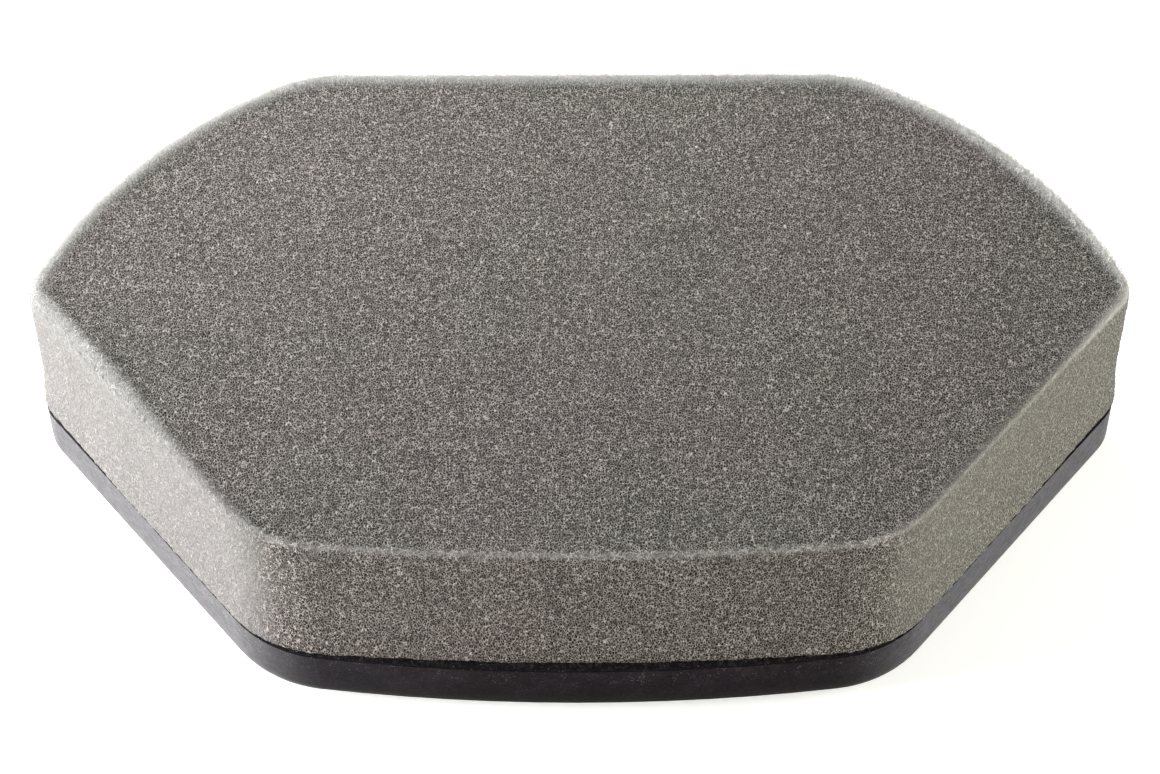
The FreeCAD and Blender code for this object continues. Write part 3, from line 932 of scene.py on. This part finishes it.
# ---------------------------------------------------------------- bond line, frame and grid
@dataclass
class BondLine:
    """The ragged skin of soaked elastomer between foam and frame, a sloping black fillet."""

    finish: BondSkin = field(default_factory=BondSkin)
    step: float = 0.4 * MM
    width: float = 5.0 * MM
    inset: float = 0.35 * MM
    lip: float = 0.03 * MM
    rise: float = 0.50 * MM
    sunk: float = 0.02 * MM
    steps: int = 7
    ragged: float = 0.35 * MM
    lump_pitch: float = 0.9 * MM

    def build(self) -> list[bpy.types.Object]:
        """Sweeps a wedge round the frame's upper edge and roughens its top."""
        source = self.wedge()
        tree = ShapeTree("bond_skin", self.finish.material())
        ragged = tree.size("Ragged", self.ragged)
        pitch = tree.size("Pitch", self.lump_pitch)
        place = tree.add("GeometryNodeInputPosition").outputs[0]
        normal = tree.add("GeometryNodeInputNormal").outputs[0]
        facing = tree.axis(normal, "Z")
        lumps = tree.add("ShaderNodeTexNoise", {
            "Vector": place, "Scale": tree.math("DIVIDE", 1.0, pitch), "Detail": 3.0,
            "Roughness": 0.7}).outputs[0]
        out = tree.times(tree.minus(lumps, 0.55), ragged)
        out = tree.times(out, tree.remap(facing, -0.2, 0.4))
        moved = tree.add("GeometryNodeSetPosition", {
            "Geometry": tree.source, "Offset": tree.scaled(normal, out)}).outputs[0]
        tree.end(moved)
        piece = tree.run(source, "bond_line")
        discard(source)
        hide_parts(Node.BOND.value)
        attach(piece, ROOT)
        return [piece]

    def wedge(self) -> bpy.types.Object:
        """A closed ring on the frame's land, low at its outer edge and as high as the bond inside.

        Returns:
            The ring's object, before it is roughened.
        """
        _, top = node_box(Node.FRAME)
        floor = top.z - self.sunk
        section = [(-self.inset, floor), (-self.inset, top.z + self.lip)]
        # the top climbs over the outer half of the land and is level from there inwards
        for number in range(1, self.steps + 1):
            climb = min(1.0, 2 * number / self.steps)
            section.append((-self.width * number / self.steps,
                            top.z + self.lip + (self.rise - self.lip) * climb))
        section.append((-self.width, floor))
        shape = bmesh.new()
        rings = [[shape.verts.new((*(point + outward * across), height))
                  for across, height in section]
                 for point, outward in even_ring(outline(Node.FRAME), self.step)]
        for here, after in zip(rings, rings[1:] + rings[:1]):
            for index in range(len(section)):
                following = (index + 1) % len(section)
                shape.faces.new((here[index], here[following],
                                 after[following], after[index]))
        bmesh.ops.recalc_face_normals(shape, faces=shape.faces)
        mesh = bpy.data.meshes.new("bond_wedge")
        shape.to_mesh(mesh)
        shape.free()
        return new_object("bond_wedge", mesh)


@dataclass
class MouldedBase:
    """The elastomer frame and the grid in it, which keep their CAD shapes and get finishes."""

    elastomer: SatinElastomer = field(default_factory=SatinElastomer)
    plastic: GridPlastic = field(default_factory=GridPlastic)

    def build(self) -> list[bpy.types.Object]:
        """Dresses both CAD nodes."""
        return [self.dress(Node.FRAME, self.elastomer.material()),
                self.dress(Node.GRID, self.plastic.material())]

    @staticmethod
    def dress(node: Node, material: bpy.types.Material) -> bpy.types.Object:
        """Gives a CAD node's object its finished material."""
        piece = bpy.data.objects[node.value]
        for held in piece.material_slots:
            held.link = "OBJECT"
            held.material = material
        return piece


# ---------------------------------------------------------------- studio
@dataclass(frozen=True)
class SoftBox:
    """One rectangular soft light, aimed at the object's middle."""

    name: str
    bearing: float
    elevation: float
    distance: float
    width: float
    height: float
    power: float
    colour: Colour = (1.0, 1.0, 1.0)

    def build(self, target: Vector) -> bpy.types.Object:
        """Makes the light.

        Args:
            target: the point that it faces.

        Returns:
            The light's object.
        """
        light = bpy.data.lights.new(self.name, "AREA")
        light.shape = "RECTANGLE"
        light.size = self.width
        light.size_y = self.height
        light.energy = self.power
        light.color = self.colour
        made = new_object(self.name, light)
        bearing = math.radians(self.bearing)
        elevation = math.radians(self.elevation)
        away = Vector((math.sin(bearing) * math.cos(elevation),
                       math.cos(bearing) * math.cos(elevation), math.sin(elevation)))
        made.location = target + away * self.distance
        made.rotation_euler = (-away).to_track_quat("-Z", "Y").to_euler()
        return made


@dataclass(frozen=True)
class Studio:
    """Pale floor, soft lights, pale surroundings and the camera."""

    floor_half: float = 3.0
    ambient: float = 0.213
    below: float = 0.05
    lens: float = 97.0
    sensor: float = 36.0
    elevation: float = 50.04
    bearing: float = 0.225
    roll: float = -0.238
    distance: float = 606.8 * MM
    target: tuple[float, float, float] = (0.10 * MM, 15.22 * MM, 0.0)
    lit_point: tuple[float, float, float] = (0.0, 0.0, 0.02)
    lights: tuple[SoftBox, ...] = (
        SoftBox("left_softbox", bearing=272, elevation=7, distance=0.55, width=0.45, height=0.22,
                power=15.2),
        SoftBox("right_softbox", bearing=92, elevation=9, distance=0.8, width=0.5, height=0.3,
                power=9.9, colour=(1.0, 1.0, 0.84)),
        SoftBox("back_softbox", bearing=325, elevation=34, distance=0.38, width=0.36, height=0.2,
                power=4.1),
        SoftBox("front_softbox", bearing=180, elevation=2, distance=1.3, width=0.8, height=0.4,
                power=9.2, colour=(1.0, 0.88, 0.80)),
        SoftBox("left_low_card", bearing=282, elevation=-50, distance=0.6, width=0.5, height=0.5,
                power=5.5),
        SoftBox("right_low_card", bearing=78, elevation=-50, distance=0.6, width=0.5, height=0.5,
                power=2.0),
    )

    def build(self) -> None:
        """Builds everything round the object."""
        self.floor()
        self.surroundings()
        for light in self.lights:
            light.build(Vector(self.lit_point))
        self.camera()
        bpy.context.scene.view_settings.view_transform = "Standard"

    def floor(self) -> None:
        """A flat pale floor, which the two low cards light the object through."""
        half = self.floor_half
        mesh = bpy.data.meshes.new("floor")
        mesh.from_pydata([(-half, -half, 0), (half, -half, 0), (half, half, 0), (-half, half, 0)],
                         [], [(0, 1, 2, 3)])
        mesh.materials.append(PaleFloor().material())
        made = new_object("floor", mesh)
        made.visible_glossy = False
        made.visible_shadow = False

    def surroundings(self) -> None:
        """Pale light from all round above the floor, and dark below it."""
        world = bpy.data.worlds.new("studio")
        world.use_nodes = True
        g = Graph(world.node_tree)
        direction = g.add("ShaderNodeTexCoord").outputs["Generated"]
        height = g.axis(direction, "Z")
        background = world.node_tree.nodes["Background"]
        background.inputs["Color"].default_value = (1.0, 1.0, 1.0, 1.0)
        g.feed(background.inputs["Strength"],
               g.remap(height, -0.1, 0.1, self.below, self.ambient))
        bpy.context.scene.world = world

    def camera(self) -> None:
        """The camera, which looks down at the front of the object."""
        data = bpy.data.cameras.new("camera")
        data.lens = self.lens
        data.sensor_width = self.sensor
        made = new_object("camera", data)
        elevation = math.radians(self.elevation)
        bearing = math.radians(self.bearing)
        away = Vector((math.sin(bearing) * math.cos(elevation),
                       -math.cos(bearing) * math.cos(elevation), math.sin(elevation)))
        target = Vector(self.target)
        turn = (-away).to_track_quat("-Z", "Y").to_matrix().to_4x4()
        roll = Matrix.Rotation(math.radians(self.roll), 4, "Z")
        made.matrix_world = Matrix.Translation(target + away * self.distance) @ turn @ roll
        bpy.context.scene.camera = made


def main() -> None:
    """Builds each sub-assembly in order, then the studio."""
    logging.basicConfig(level=logging.INFO, format="%(name)s: %(message)s")
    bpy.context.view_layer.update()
    for assembly in (FoamBlock(), BondLine(), MouldedBase()):
        for piece in assembly.build():
            triangles = sum(len(face.vertices) - 2 for face in piece.data.polygons)
            log.info("%s: %d triangles", piece.name, triangles)
    Studio().build()


if __name__ == "__main__":
    main()
